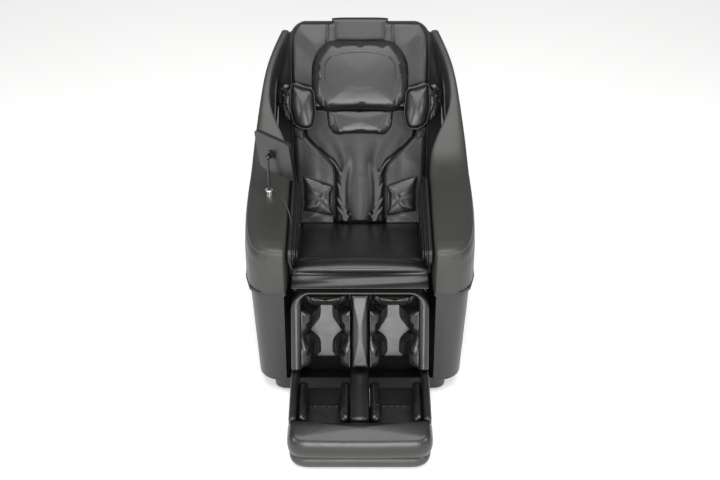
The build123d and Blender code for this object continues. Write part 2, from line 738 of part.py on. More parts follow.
knuckle_x = rail_outer - 14 - side_gap - 10
leg_lever = (212.0, -100.0)
with BuildPart() as leg_frame:
    for x in (knuckle_x, -knuckle_x - 10):
        plane = lean_side(leg, leg_lean, x)
        box_on(plane, (knee_back - 12, 0), (knee_back + 12, knee_up), 10)
        disc_on(plane, (knee_back, knee_up), 12, 10)
        disc_on(plane, (knee_back, knee_up), knee_pin + running, 10, Mode.SUBTRACT)
    box_on(lean_side(leg, leg_lean, -150), (leg_depth, -130), (leg_depth + 8, -70), 300)
    for x in (-drive_x + ear_gap, -drive_x - ear_gap - ear_thick):
        shape_on(lean_side(leg, leg_lean, x), [(leg_depth + 4, -125), (leg_lever[0] + 3, leg_lever[1] - 11),
                                               (leg_lever[0] + 3, leg_lever[1] + 11), (leg_depth + 4, -75)],
                                               ear_thick)
        disc_on(lean_side(leg, leg_lean, x), leg_lever, 12, ear_thick)
        disc_on(lean_side(leg, leg_lean, x), leg_lever, ear_pin + running, ear_thick, Mode.SUBTRACT)
save(leg_frame, "leg_frame")


# ---------------------------------------------------------------- foot unit
slide_pad = foot_gap
joint_front = world(leg, leg_lean, 0, -leg_length - slide_pad)
joint_rear = world(leg, leg_lean, leg_depth, -leg_length - slide_pad)
foot_outline = [joint_front, (-617, 162), (-676, 152), (-704, 128), (nose_front, 96), (-706, 56), (-690, 24),
                (-668, foot_floor), (-355, foot_floor), (-290, 40), (-262, 80), joint_rear]
foot_well_in = 33.0
foot_well_out = foot_half - foot_wall - 2
sole_z = 46.0
foot_room = [(-605, sole_z - 8), (-605, 200), (-330, 280), (-300, sole_z - 8)]
roller_y = -430.0
roller_z = sole_z - 4
shaft_radius = 10.0
with BuildPart() as foot_shell:
    shape_on(upright(-foot_half), foot_outline, 2 * foot_half)
    box_on(Plane.XY.offset(-10), (-foot_half, nose_front - 10), (foot_half, -610), 400, Mode.SUBTRACT)
    box_on(Plane.XY.offset(-10), (-foot_half, nose_front - 10), (foot_half, -200), sole_z + 2, Mode.SUBTRACT)
    shape_on(upright(-foot_well_out), foot_room, 2 * foot_well_out, Mode.SUBTRACT)
    disc_on(upright(-foot_well_out - 8), (roller_y, roller_z), shaft_radius + running, 2 * foot_well_out + 16,
            Mode.SUBTRACT)
save(foot_shell, "foot_shell")

with BuildPart() as toe_cap:
    shape_on(upright(-foot_half), foot_outline, 2 * foot_half)
    box_on(Plane.XY.offset(-10), (-foot_half, -610), (foot_half, -200), 400, Mode.SUBTRACT)
    box_on(Plane.XY.offset(-10), (-foot_half, nose_front - 10), (foot_half, -600), sole_z + 2, Mode.SUBTRACT)
save(toe_cap, "toe_cap")

with BuildPart() as foot_bottom:
    with BuildSketch(Plane.XY.offset(foot_floor)) as bottom_plan:
        with Locations((0, (-668 - 300) / 2)):
            RectangleRounded(2 * 200, 368, 60)
    with BuildSketch(Plane.XY.offset(sole_z - 8)) as top_plan:
        with Locations((0, (-700 - 282) / 2)):
            RectangleRounded(2 * (foot_half - 8), 418, 60)
    loft()
    box_on(Plane.XY.offset(foot_floor + 6), (-foot_well_out - 9, roller_y - 24),
           (foot_well_out + 9, roller_y + 24),
           sole_z, Mode.SUBTRACT)
save(foot_bottom, "foot_bottom_cover")

with BuildPart() as foot_divider:
    shape_on(upright(-foot_well_in), foot_outline, 2 * foot_well_in)
    shape_on(upright(-foot_well_in), foot_room, 2 * foot_well_in, Mode.INTERSECT)
    disc_on(upright(-foot_well_in), (roller_y, roller_z), shaft_radius + running, 2 * foot_well_in,
            Mode.SUBTRACT)
save(foot_divider, "foot_divider")

with BuildPart() as sole_plate:
    box_on(Plane.XY.offset(sole_z - 8), (foot_well_in + 1, -603), (foot_well_out - 1, -310), 8)
    box_on(Plane.XY.offset(sole_z - 8), (0, roller_y - 28), (foot_half, roller_y + 28), 8, Mode.SUBTRACT)
both_sides(sole_plate, "sole_plates")

foot_bag = 18.0
with BuildPart() as foot_bags:
    shape_on(upright(foot_well_out - foot_bag), [(-590, sole_z + 10), (-590, 140), (-440, 160),
                                                 (-400, sole_z + 10)],
             foot_bag)
    shape_on(upright(foot_well_in), [(-590, sole_z + 10), (-590, 140), (-440, 160), (-400, sole_z + 10)],
             foot_bag)
both_sides(foot_bags, "foot_airbags")

with BuildPart() as foot_rollers:
    disc_on(upright(-foot_well_out - 7), (roller_y, roller_z), shaft_radius, 2 * foot_well_out + 14)
    for side in (-1, 1):
        for place in range(5):
            middle = side * (foot_well_in + 36 + 24 * place)
            disc_on(upright(middle - 7), (roller_y, roller_z), 19, 14)
save(foot_rollers, "foot_rollers")

# ---------------------------------------------------------------- actuators
rod_radius = 8.0
rod_gap = 0.3
bar_half = 13.0


def along(tail, head, x):
    """Plane across X whose first sketch axis runs from the tail point to the head point."""
    span = hypot(head[0] - tail[0], head[1] - tail[1])
    way = (0, (head[0] - tail[0]) / span, (head[1] - tail[1]) / span)
    return Plane(origin=(x, tail[0], tail[1]), x_dir=way, z_dir=(1, 0, 0)), span


def actuator(name, x, tail, head, tube_long, rod_from):
    """A linear actuator: a tube and motor that swing on the tail pin, and a rod that slides to the head."""
    plane, span = along(tail, head, x - bar_half)
    pins, span = along(tail, head, x - ear_gap - ear_thick)
    middle, span = along(tail, head, x)
    mouth = Plane(origin=middle.from_local_coords((24, 0, 0)), x_dir=(1, 0, 0), z_dir=middle.x_dir)
    with BuildPart() as tube_part:
        disc_on(plane, (0, 0), bar_half - 1, 2 * bar_half)
        disc_on(pins, (0, 0), ear_pin, 2 * (ear_gap + ear_thick))
        box_on(plane, (0, -bar_half), (tube_long, bar_half), 2 * bar_half)
        box_on(plane, (20, -bar_half - 34), (104, -bar_half), 2 * bar_half)
        with BuildSketch(mouth):
            Circle(rod_radius + rod_gap)
        extrude(amount=tube_long, mode=Mode.SUBTRACT)
    save(tube_part, f"{name}_actuator")
    start = Plane(origin=middle.from_local_coords((rod_from, 0, 0)), x_dir=(1, 0, 0), z_dir=middle.x_dir)
    with BuildPart() as rod_part:
        with BuildSketch(start):
            Circle(rod_radius)
        extrude(amount=span - rod_from)
        disc_on(plane, (span, 0), 11, 2 * bar_half)
    save(rod_part, f"{name}_rod")


leg_head = world(leg, leg_lean, leg_lever[0], leg_lever[1])
actuator("tilt", 0, (tail_y, tail_z), (hook_y, hook_z), 190, 46)
actuator("recline", drive_x, recline_tail, (205.0, 245.0), 190, 108)
actuator("leg", -drive_x, leg_tail, leg_head, 245, 25)

# ---------------------------------------------------------------- remote on its stalk
arm_rise = (678 - 656) / 120
arm_z = 656 + (stalk_y + 60) * arm_rise
socket_top = arm_z + 22
ball_z = arm_z + stalk_height
ball_radius = 9.0
with BuildPart() as remote_socket:
    with BuildSketch(Plane.XY.offset(arm_z - 8)):
        with Locations((stalk_x, stalk_y)):
            Circle(14)
    extrude(amount=socket_top - arm_z + 8)
    shape_on(upright(stalk_x - 30), [(stalk_y - 30, arm_z - 30 * arm_rise), (stalk_y + 30,
                                                                             arm_z + 30 * arm_rise),
                                     (stalk_y + 30, 600), (stalk_y - 30, 600)], 60, Mode.SUBTRACT)
    fillet(remote_socket.edges().sort_by(Axis.Z)[-1], 3)
    with BuildSketch(Plane.XY.offset(socket_top)):
        with Locations((stalk_x, stalk_y)):
            Circle(stalk_radius + running)
    extrude(amount=-16, mode=Mode.SUBTRACT)
save(remote_socket, "remote_socket")

with BuildPart() as remote_stalk:
    with BuildSketch(Plane.XY.offset(socket_top - 15)):
        with Locations((stalk_x, stalk_y)):
            Circle(stalk_radius)
    extrude(amount=ball_z - socket_top + 15)
    with Locations((stalk_x, stalk_y, ball_z)):
        Sphere(ball_radius)
save(remote_stalk, "remote_stalk")

turn = radians(-42.8)
nod = radians(9)
across = (cos(turn), sin(turn), 0)
facing = (-sin(turn) * cos(nod), cos(turn) * cos(nod), sin(nod))
ball = (stalk_x, stalk_y, ball_z)


def tablet_plane(depth, shift=0.0):
    """Plane along the tablet, depth from the ball towards the screen, shifted along its width."""
    point = tuple(ball[i] + facing[i] * depth + across[i] * shift for i in range(3))
    return Plane(origin=point, x_dir=across, z_dir=facing)


back_of_tablet = 16.0
tablet_shift = 14.0
glass = 1.6
cup = ball_radius + running
cup_mouth = 5.5
half = Plane(origin=ball, x_dir=across, z_dir=Vector(*across).cross(Vector(*facing)))
with BuildPart() as remote_clamp:
    with BuildSketch(half):
        with BuildLine():
            Polyline(((cup ** 2 - cup_mouth ** 2) ** 0.5, cup_mouth), (9.6, cup_mouth), (9.6, 11.5),
                     (17, 11.5),
                     (17, back_of_tablet), (0, back_of_tablet), (0, cup))
            RadiusArc((0, cup), ((cup ** 2 - cup_mouth ** 2) ** 0.5, cup_mouth), cup)
        make_face()
    revolve(axis=Axis(ball, facing))
save(remote_clamp, "remote_clamp")

with BuildPart() as remote_case:
    with BuildSketch(tablet_plane(back_of_tablet, tablet_shift)):
        RectangleRounded(tablet_wide, tablet_high, 12)
    extrude(amount=tablet_thick)
    with BuildSketch(tablet_plane(back_of_tablet + tablet_thick, tablet_shift)):
        RectangleRounded(tablet_wide - 8, tablet_high - 8, 9)
    extrude(amount=-glass, mode=Mode.SUBTRACT)
save(remote_case, "remote_case")

with BuildPart() as remote_screen:
    with BuildSketch(tablet_plane(back_of_tablet + tablet_thick - glass, tablet_shift)):
        RectangleRounded(tablet_wide - 8.4, tablet_high - 8.4, 8.8)
    extrude(amount=glass)
save(remote_screen, "remote_screen")

# ---------------------------------------------------------------- remote cable
cable = 4.0
upper_route = [(-297, -34, 675), (-289, -42, 687), (-277, -57, 690), (-265, -76, 682), (-253, -96, 668),
               (-242, -114, 650), (-236, -128, 631), (-233, -138, 611)]
lower_route = [(-236, -282, 562), (-233, -293, 556), (-228, -299, 544), (-222, -296, 529), (-217, -285, 514),
               (-214, -269, 500), (-212, -252, 490), (-211, -238, 482)]


def cable_tube(points, name):
    """A cable along runs joined by arcs, each as large as its two runs allow."""
    vectors = [Vector(*p) for p in points]
    radii = []
    for before, here, after in zip(vectors, vectors[1:], vectors[2:]):
        turn_angle = radians((here - before).get_angle(after - here))
        shorter = min((here - before).length, (after - here).length)
        radii.append(0.45 * shorter / tan(turn_angle / 2))
    print(name, "radii", [round(r) for r in radii])
    with BuildPart() as tube_part:
        with BuildLine() as path:
            FilletPolyline(*points, radius=radii)
        with BuildSketch(Plane(origin=path.line @ 0, z_dir=path.line % 0)):
            Circle(cable / 2)
        sweep()
    length = sum(edge.length for edge in path.edges())
    print(name, "length", round(length), "volume over section times length",
          round(tube_part.part.volume / (pi * (cable / 2) ** 2 * length), 3))
    save(tube_part, name)


cable_tube(upper_route, "remote_cable_upper")
cable_tube(lower_route, "remote_cable_lower")
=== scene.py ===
import bmesh
import bpy
import numpy as np
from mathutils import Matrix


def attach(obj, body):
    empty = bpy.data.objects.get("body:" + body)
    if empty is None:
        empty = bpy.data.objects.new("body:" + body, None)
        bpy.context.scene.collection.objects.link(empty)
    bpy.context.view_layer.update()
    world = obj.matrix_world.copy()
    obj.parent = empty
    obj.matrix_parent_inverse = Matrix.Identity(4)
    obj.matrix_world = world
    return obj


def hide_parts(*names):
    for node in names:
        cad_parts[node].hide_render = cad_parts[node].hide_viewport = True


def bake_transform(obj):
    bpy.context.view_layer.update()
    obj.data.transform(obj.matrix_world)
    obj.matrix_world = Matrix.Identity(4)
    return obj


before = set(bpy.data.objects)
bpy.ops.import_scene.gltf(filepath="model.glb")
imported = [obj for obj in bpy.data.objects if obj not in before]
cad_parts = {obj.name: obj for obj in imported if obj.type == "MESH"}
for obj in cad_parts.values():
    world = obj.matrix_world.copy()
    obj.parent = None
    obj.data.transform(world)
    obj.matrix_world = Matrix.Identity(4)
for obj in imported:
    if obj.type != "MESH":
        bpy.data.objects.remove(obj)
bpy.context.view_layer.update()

# ---------------------------------------------------------------- room and camera
# A plain pale studio: a seamless white floor, one broad soft light overhead, two weak fills and an even sky.
# The camera stands in front of the chair and looks down on it from a ladder's height.
scene = bpy.context.scene


def linear(code):
    """An sRGB hex colour as linear red, green and blue with full alpha."""
    parts = [int(code[k:k + 2], 16) / 255 for k in (1, 3, 5)]
    return [p / 12.92 if p <= 0.04045 else ((p + 0.055) / 1.055) ** 2.4 for p in parts] + [1.0]


def add_node(tree, kind, inputs, **settings):
    """Adds a shader node: settings are its properties, and each input is a number or another node's socket."""
    made = tree.nodes.new("ShaderNode" + kind)
    for name, value in settings.items():
        setattr(made, name, value)
    for name, value in inputs.items():
        if isinstance(value, bpy.types.NodeSocket):
            tree.links.new(value, made.inputs[name])
        else:
            made.inputs[name].default_value = value
    return made


def plain_material(name, colour, **sockets):
    """A new material with the shader's constant inputs set, and its node tree, shader and object coordinates."""
    material = bpy.data.materials.new(name)
    material.use_nodes = True
    tree = material.node_tree
    shader = tree.nodes["Principled BSDF"]
    shader.inputs["Base Color"].default_value = linear(colour)
    for socket, value in sockets.items():
        shader.inputs[socket.replace("_", " ")].default_value = value
    return material, tree, shader, add_node(tree, "TexCoord", {}).outputs["Object"]


lens = bpy.data.cameras.new("lens")
lens.lens, lens.sensor_width = 65.0, 36.0
camera = bpy.data.objects.new("camera", lens)
scene.collection.objects.link(camera)
camera.location = (0, -3.886, 2.888)
camera.rotation_euler = (np.radians(90 - 32), 0, 0)
scene.camera = camera
scene.view_settings.view_transform = "Standard"

world = bpy.data.worlds.new("studio")
scene.world = world
world.use_nodes = True
world.node_tree.nodes["Background"].inputs["Color"].default_value = linear("#ffffff")
world.node_tree.nodes["Background"].inputs["Strength"].default_value = 0.45

for name, place, aim, size, power in (("overhead", (0.0, -1.2, 3.2), (0, 0, 0.4), 3.0, 95),
                                      ("front", (0.0, -4.6, 1.1), (0, -0.4, 0.4), 2.2, 135),
                                      ("front_left", (-2.6, -2.6, 1.7), (0, -0.1, 0.5), 1.4, 46),
                                      ("front_right", (2.6, -2.6, 1.7), (0, -0.1, 0.5), 1.4, 46)):
    lamp = bpy.data.lights.new(name, "AREA")
    lamp.shape, lamp.size, lamp.energy = "DISK", size, power
    light = bpy.data.objects.new(name, lamp)
    scene.collection.objects.link(light)
    light.location = place
    way = np.array(aim) - np.array(place)
    light.rotation_euler = (np.arctan2(np.hypot(way[0], way[1]), -way[2]), 0, np.arctan2(-way[0], way[1]))

studio_floor, tree, shader, spot = plain_material("matte_paper_floor", "#f4f4f3", Roughness=0.9,
                                               Emission_Color=linear("#ffffff"), Emission_Strength=0.3)
paper = add_node(tree, "TexNoise", {"Vector": spot, "Scale": 400.0, "Detail": 2.0})
tree.links.new(add_node(tree, "Bump", {"Height": paper.outputs["Fac"], "Strength": 0.03,
                                       "Distance": 0.001}).outputs[0],
               shader.inputs["Normal"])
bpy.ops.mesh.primitive_plane_add(size=30)
floor = bpy.context.object
floor.name = "floor"
floor.data.materials.append(studio_floor)

# ---------------------------------------------------------------- remote cable
# A thin round black PVC lead, 4 mm across. It comes out of the remote's socket, loops over the arm and dives behind
# the arm liner, and its second visible length goes from the liner's front edge in under the seat's front lip.
pvc, tree, shader, spot = plain_material("black_pvc_sheath", "#1b1b1c", Roughness=0.38, IOR=1.52)
marks = add_node(tree, "TexNoise", {"Vector": spot, "Scale": 260.0, "Detail": 3.0})
rough = add_node(tree, "MapRange", {"Value": marks.outputs["Fac"], "To Min": 0.3, "To Max": 0.5})
tree.links.new(rough.outputs["Result"], shader.inputs["Roughness"])
for name, route, length in (
        ("cable_upper", [(-297, -34, 675), (-289, -42, 687), (-277, -57, 690), (-265, -76, 682),
                         (-253, -96, 668),
                         (-242, -114, 650), (-236, -128, 631), (-233, -138, 611)], 0.160),
        ("cable_lower", [(-236, -282, 562), (-233, -293, 556), (-228, -299, 544), (-222, -296, 529),
                         (-217, -285, 514), (-214, -269, 500), (-212, -252, 490), (-211, -238, 482)], 0.119)):
    line = bpy.data.curves.new(name, "CURVE")
    line.dimensions = "3D"
    spline = line.splines.new("NURBS")
    spline.points.add(len(route) - 1)
    spline.points.foreach_set("co", np.hstack([np.array(route) / 1000, np.ones((len(route), 1))]).ravel())
    spline.order_u = 3
    spline.use_endpoint_u = True
    line.bevel_depth = 0.002
    line.resolution_u = 12
    line.use_fill_caps = True
    lead = bpy.data.objects.new(name, line)
    scene.collection.objects.link(lead)
    line.materials.append(pvc)
    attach(lead, "seat")
    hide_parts("remote_" + name)

# ---------------------------------------------------------------- arm shells
# Each arm, side and shoulder is one plastic moulding covered with smooth satin PU leather: a broad crowned top
# panel, sewn with a corded seam to the side panel that runs round the front corner and down to the trim.


def leather(name, dark, light, roughness, grain, depth, crease, coat):
    """PU leather: coloured by slow clouds, grained by small cells of grain mm, creased by slow folds."""
    material, tree, shader, spot = plain_material(name, dark, IOR=1.5, Coat_Weight=coat, Coat_Roughness=0.3)
    clouds = add_node(tree, "TexNoise", {"Vector": spot, "Scale": 7.0, "Detail": 4.0, "Roughness": 0.6})
    tone = add_node(tree, "ValToRGB", {"Fac": clouds.outputs["Fac"]})
    for element, place, code in zip(tone.color_ramp.elements, (0.3, 0.72), (dark, light)):
        element.position, element.color = place, linear(code)
    tree.links.new(tone.outputs["Color"], shader.inputs["Base Color"])
    rub = add_node(tree, "TexNoise", {"Vector": spot, "Scale": 24.0, "Detail": 5.0})
    rough = add_node(tree, "MapRange", {"Value": rub.outputs["Fac"], "To Min": roughness - 0.05,
                                        "To Max": roughness + 0.07})
    tree.links.new(rough.outputs["Result"], shader.inputs["Roughness"])
    cells = add_node(tree, "TexVoronoi", {"Vector": spot, "Scale": 1000.0 / grain}, feature="SMOOTH_F1")
    fine = add_node(tree, "Bump", {"Height": cells.outputs["Distance"], "Strength": depth,
                                   "Distance": 0.0008})
    folds = add_node(tree, "TexNoise", {"Vector": spot, "Scale": 11.0, "Detail": 2.0, "Distortion": 1.4})
    slow = add_node(tree, "Bump", {"Height": folds.outputs["Fac"], "Strength": crease, "Distance": 0.02,
                                   "Normal": fine.outputs["Normal"]})
    tree.links.new(slow.outputs["Normal"], shader.inputs["Normal"])
    return material


satin = leather("smooth_satin_pu_leather", "#232321", "#2a2927", 0.44, 2.2, 0.10, 0.03, 0.05)
cord_leather = leather("rolled_piping_leather", "#141413", "#1c1b1a", 0.34, 1.6, 0.10, 0.0, 0.1)


def surface(name, points, material, body, wrap=True):
    """Mesh over rows by columns of points in mm; wrap joins the last column to the first, and rows that shrink to
    a point close the form."""
    rows, columns = points.shape[:2]
    index = np.arange(rows * columns).reshape(rows, columns)
    left, right = (index, np.roll(index, -1, 1)) if wrap else (index[:, :-1], index[:, 1:])
    quads = np.stack([left[:-1], right[:-1], right[1:], left[1:]], -1).reshape(-1, 4)
    mesh = bpy.data.meshes.new(name)
    mesh.from_pydata((points.reshape(-1, 3) / 1000).tolist(), [], quads.tolist())
    tidy = bmesh.new()
    tidy.from_mesh(mesh)
    bmesh.ops.remove_doubles(tidy, verts=tidy.verts, dist=1e-5)
    bmesh.ops.recalc_face_normals(tidy, faces=tidy.faces)
    tidy.to_mesh(mesh)
    tidy.free()
    mesh.polygons.foreach_set("use_smooth", np.ones(len(mesh.polygons), bool))
    mesh.materials.append(material)
    piece = bpy.data.objects.new(name, mesh)
    scene.collection.objects.link(piece)
    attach(piece, body)
    return piece


def capped(points):
    """Closes a row of loops at both ends with their middle points."""
    first, last = (np.broadcast_to(points[k].mean(0), points[k].shape) for k in (0, -1))
    return np.concatenate([first[None], points, last[None]])


def tube(path, radius, normal, closed):
    """Round tube along a path: circles of that radius across the path's direction, the first radius along normal."""
    if closed:
        ahead = np.roll(path, -1, 0) - np.roll(path, 1, 0)
    else:
        ahead = np.gradient(path, axis=0)
    ahead = ahead / np.linalg.norm(ahead, axis=1)[:, None]
    normal = np.broadcast_to(np.array(normal, float), path.shape)
    side = np.cross(ahead, normal)
    side = side / np.linalg.norm(side, axis=1)[:, None]
    up = np.cross(side, ahead)
    turn = np.linspace(0, 2 * np.pi, 9)[:-1][None, :, None]
    rings = path[:, None] + radius * (np.cos(turn) * up[:, None] + np.sin(turn) * side[:, None])
    return np.concatenate([rings, rings[:1]]) if closed else capped(rings)


def eased(values, rounds):
    """Softens a run of values by averaging each with its neighbours, ends held."""
    for _ in range(rounds):
        values[1:-1] = (values[:-2] + 2 * values[1:-1] + values[2:]) / 4
    return values


stations = np.array([
    (-305, 250, 252, 300, 296, 596), (-296, 246, 247, 342, 332, 606), (-262, 244, 245, 372, 362, 616),
    (-190, 244, 245, 389, 380, 632), (-60, 244, 245, 394, 386, 656), (60, 244, 245, 393, 384, 678),
    (150, 244, 245, 389, 378, 704), (205, 250, 254, 386, 374, 757), (240, 284, 286, 383, 367, 795),
    (262, 314, 315, 381, 363, 818), (300, 324, 325, 377, 357, 858), (350, 324, 321, 371, 349, 905),
    (415, 322, 308, 364, 336, 955), (480, 318, 283, 358, 310, 1000), (530, 314, 258, 354, 288, 1030)], float)
along = np.concatenate([-305 + 43 * (1 - np.cos(np.linspace(0, np.pi / 2, 16))), np.linspace(-258, 530, 120)])
inner, rim, low, high, top = (eased(np.interp(along, stations[:, 0], stations[:, k]), 60) for k in range(1,
                                                                                                         6))
shell_bottom, seam_drop = 440.0, 20.0
front_close = np.clip((along + 305) / 12, 0, 1) ** 0.5


def shell_points(sign):
    """Rows along the arm; each row runs up the inner wall, over the crowned top by half a flattened ellipse, and
    down the outer wall, which swells by a sine between its corded seam and its foot."""
    rise = np.linspace(0, 1, 14)[None]
    inner_x = inner[:, None] + (rim - inner)[:, None] * rise ** 2
    inner_z = shell_bottom + (top - 16 - shell_bottom)[:, None] * rise
    arch = np.linspace(np.pi, 0, 30)[None, 1:]
    middle, reach = (rim + high)[:, None] / 2, (high - rim)[:, None] / 2
    top_x = middle + reach * np.sign(np.cos(arch)) * np.abs(np.cos(arch)) ** 0.75
    top_z = top[:, None] - seam_drop + 4 + (seam_drop - 4) * np.sin(arch) ** 0.55
    top_z -= 4 * np.clip((top_x - middle) / reach, 0, 1) ** 3
    fall = np.linspace(0, 1, 26)[None]
    outer_z = (top[:, None] - seam_drop - 4) * (1 - fall) + shell_bottom * fall
    outer_x = high[:, None] + (low - high)[:, None] * np.minimum(fall / 0.38, 1) ** 0.8
    outer_x = outer_x + 2.0 * np.sin(np.pi * np.minimum(fall * 4, 1)) - 2.5 * (fall < 0.01)
    x = np.hstack([inner_x, top_x, outer_x])
    z = np.hstack([inner_z, top_z, outer_z])
    centre = x.mean(1)[:, None]
    x = centre + (x - centre) * (0.86 + 0.14 * front_close)[:, None]
    z = z - (z > shell_bottom + 1) * (1 - front_close)[:, None] * 6
    y = np.broadcast_to(along[:, None], x.shape)
    rows = np.stack([sign * x, y, z], -1)
    return rows


for sign, side in ((1, "left"), (-1, "right")):
    rows = shell_points(sign)
    shell = surface(f"arm_cover_{side}", capped(rows), satin, "seat")
    shell.data.set_sharp_from_angle(angle=np.radians(48))
    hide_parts(f"arm_shell_{side}")
    seam = rows[:, 14 + 29 - 1] * 0.5 + rows[:, 14 + 29] * 0.5
    surface(f"arm_piping_{side}", tube(seam[3:], 2.2, (sign, 0, 0.6), False), cord_leather, "seat")

# ---------------------------------------------------------------- back cushion
# The back's foam body under soft grained PU leather: two side panels and a top panel with a corded edge, and a
# sunk channel down the middle for the massage rollers' soft panel. It is stapled to the back's frame.
soft_grain = leather("soft_grained_pu_leather", "#131211", "#1b1a19", 0.33, 2.6, 0.14, 0.06, 0.08)
back, back_lean = (220.0, 400.0), 26.6


def leaning(origin, degrees, across, rear, up):
    """Points of a leaning frame: y is the origin plus rear cos plus up sin, z the origin less rear sin plus up cos."""
    turn = np.radians(degrees)
    y = origin[0] + rear * np.cos(turn) + up * np.sin(turn)
    z = origin[1] - rear * np.sin(turn) + up * np.cos(turn)
    return np.stack(np.broadcast_arrays(across, y, z), -1)


def near_line(a, b, line, width):
    """1 on a line of straight runs, falling off on both sides as exp(-(distance / width) squared)."""
    best = np.full(a.shape, 1e9)
    line = np.array(line, float)
    for start, end in zip(line, line[1:]):
        way = end - start
        t = np.clip(((a - start[0]) * way[0] + (b - start[1]) * way[1]) / (way @ way), 0, 1)
        best = np.minimum(best, np.hypot(a - start[0] - t * way[0], b - start[1] - t * way[1]))
    return np.exp(-(best / width) ** 2)


def step(value, low, high):
    """0 below low, 1 above high, and a smooth S between."""
    t = np.clip((value - low) / (high - low), 0, 1)
    return t * t * (3 - 2 * t)


def both(lines):
    """Each line with its mirror image."""
    return [line for one in lines for line in (one, [(-x, u) for x, u in one])]


def back_half(up):
    """Half width of the back cushion: straight taper, rounded in at the top and bottom corners."""
    half = np.interp(up, [0, 575, 735], [240, 253, 253])
    half = half - 62 + np.sqrt(62.0 ** 2 - np.clip(up - 673, 0, 61.5) ** 2)
    return half - 10 + np.sqrt(10.0 ** 2 - np.clip(-2 - up, 0, 9.5) ** 2)


def panel_half(up):
    """Half width of the loose panel in the middle: narrow at the waist, flaring to the shoulders in a soft S."""
    return np.interp(up, [0, 180, 205, 228, 252, 284, 318, 345, 600],
                     [92, 92, 97, 114, 137, 173, 204, 209, 209])


up = np.concatenate([np.linspace(-12, 690, 175), np.linspace(693, 734, 24)])[:, None]
x = np.linspace(-1, 1, 151)[None] * back_half(up)
edge = np.minimum(np.minimum(back_half(up) - np.abs(x), 735 - up), 2 * up + 24)
face = 60 - 22 * (1 - np.sqrt(1 - (1 - np.clip(edge / 22, 0, 1)) ** 2))
face -= 27 * (1 - step(np.abs(x), panel_half(up) - 6, panel_half(up) + 6)) * (1 - step(up, 410, 428))
seam_lines = both([[(-253, 520), (-205, 500), (-150, 490)], [(-118, 735), (-122, 600)]])
for line in seam_lines:
    face -= 3.0 * near_line(x, up, line, 3.2)
face += 1.6 * np.sin(x / 31 + up / 57) * np.sin(up / 43) + 5 * step(edge, 10, 90) * step(np.abs(x), 112, 160)
face -= 3
spot_x, spot_up = np.pad(np.broadcast_to(x, face.shape), 1,
                         "edge"), np.pad(np.broadcast_to(up, face.shape), 1, "edge")
deep = np.pad(60 - face, 1, constant_values=60)
spot_x, spot_up, deep = np.pad(spot_x, 1), np.pad(spot_up, 1, constant_values=370), np.pad(deep, 1,
                                                                                           constant_values=60)
cushion_back = surface("back_pad", leaning(back, back_lean, spot_x, deep, spot_up), soft_grain, "backrest",
                       wrap=False)
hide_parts("back_cushion")
round_up = np.concatenate([np.linspace(20, 690, 60), np.linspace(692, 734, 20)])
half = back_half(round_up)
edge_path = np.concatenate([np.stack([half, round_up], -1), np.stack([-half[::-1], round_up[::-1]], -1)])
path = leaning(back, back_lean, edge_path[:, 0], np.full(len(edge_path), 21.0), edge_path[:, 1])
surface("back_piping", tube(path, 2.6, (0, -0.89, 0.45), False), cord_leather, "backrest")

# ---------------------------------------------------------------- side gussets
# Loose dark cloth sewn along each side of the back, which closes the gap between the cushion and the side shell.
cloth, tree, shader, spot = plain_material("black_polyester_cloth", "#101010", Roughness=0.8,
                                                  Sheen_Weight=0.2)
threads = add_node(tree, "TexNoise", {"Vector": spot, "Scale": 700.0, "Detail": 2.0})
tree.links.new(add_node(tree, "Bump", {"Height": threads.outputs["Fac"], "Strength": 0.2,
                                       "Distance": 0.0005}).outputs["Normal"], shader.inputs["Normal"])
for sign, side in ((1, "left"), (-1, "right")):
    climb = np.linspace(6, 705, 90)[:, None]
    reach = np.interp(climb, [0, 12, 70, 300, 470, 600, 690, 705], [232, 233, 302, 304, 300, 292, 276, 250])
    share = np.linspace(0, 1, 16)[None]
    across = 222 + (reach - 222) * share
    fall = 58 + 8 * share + 2.0 * np.sin(climb / 23 + 5 * share) * np.sin(np.pi * share)
    cloth_points = leaning(back, back_lean, sign * across, fall, climb + 0 * share)
    cloth_back = leaning(back, back_lean, sign * across[:, ::-1], fall[:, ::-1] + 2.5, climb + 0 * share)
    gusset = surface(f"side_gusset_{side}", capped(np.concatenate([cloth_points, cloth_back], 1)), cloth,
                     "backrest")

# ---------------------------------------------------------------- soft centre panel
# A loose, thin leather panel over the roller track. It is sewn only along its two long edges, so it sags into
# long soft folds that run down from the shoulders and gather above the seat.
up = np.linspace(-4, 420, 236)[:, None]
x = np.linspace(-1, 1, 151)[None] * (panel_half(up) - 1)
edge = np.minimum(panel_half(up) - np.abs(x), np.minimum(up + 5, 421 - up))
lift = 2 + 22 * np.sqrt(1 - (1 - np.clip(edge / 16, 0, 1)) ** 2)
low = 1 - step(up, 150, 340)
for foot_x, bend, tall, wide in ((52, 12, 11.0, 19), (80, 4, 3.0, 9)):
    ridge = foot_x + bend * np.sin(up / 70) + 60 * step(up, 200, 360) * (foot_x / 50)
    lift += tall * np.exp(-((np.abs(x) - ridge) / (wide + 14 * step(up, 200,
                                                                    340))) ** 2) * (0.25 + 0.75 * low)
lift -= 3.0 * np.exp(-(x / 26) ** 2) * (0.3 + 0.7 * low) + 6 * step(np.abs(x), 110, 200)
for line in both([[(-92, 58), (-66, 34), (-40, 22)], [(-91, 92), (-68, 70), (-50, 40)],
                  [(-92, 148), (-74, 128), (-62, 96)], [(-150, 262), (-96, 214), (-74, 180)]]):
    lift += 4.5 * near_line(x, up, line, 5.0) - 3.0 * near_line(x, up - 9, line, 4.5)
lift = np.minimum(lift, 33)
wide_x, wide_up = np.broadcast_to(x, lift.shape), np.broadcast_to(up, lift.shape)
sheet_x, sheet_up = np.pad(np.pad(wide_x, 1, "edge"), 1), np.pad(np.pad(wide_up, 1, "edge"), 1,
                                                                 constant_values=210)
